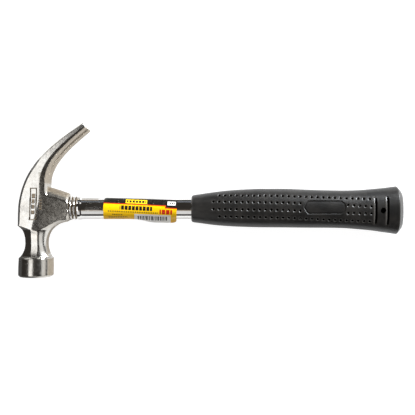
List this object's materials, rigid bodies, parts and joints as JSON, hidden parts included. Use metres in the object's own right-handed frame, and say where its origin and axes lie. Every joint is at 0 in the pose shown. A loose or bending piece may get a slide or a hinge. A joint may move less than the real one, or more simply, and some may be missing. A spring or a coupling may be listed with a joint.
{
  "type": "claw hammer",
  "caption": "Claw hammer with a polished forged head, a chromed tubular steel handle with rolled rings, a wrapped printed film label and a dimpled black rubber grip.",
  "frame": {"origin": "under the middle of the whole hammer's box, on the surface it lies on", "axes": "+X along the handle from the head to the butt, +Y up the head from the striking face to the claw, +Z through the cheeks, up from the surface it lies on"},
  "size_m": [0.3292, 0.1306, 0.0298],
  "materials": {
    "head_steel": "polished cheeks and poll with small forging pits, matte blasted inner claw",
    "tube_chrome": "mirror chrome plate with fine handling marks",
    "plug_steel": "plain turned steel, oiled",
    "grip_rubber": "matte moulded rubber, faintly dusty",
    "label_film": "printed yellow and black film, satin"
  },
  "bodies": {
    "root": {"head": "head_steel", "shaft_tube": "tube_chrome", "expansion_plug": "plug_steel", "grip": "grip_rubber", "label": "label_film"}
  },
  "joints": []
}
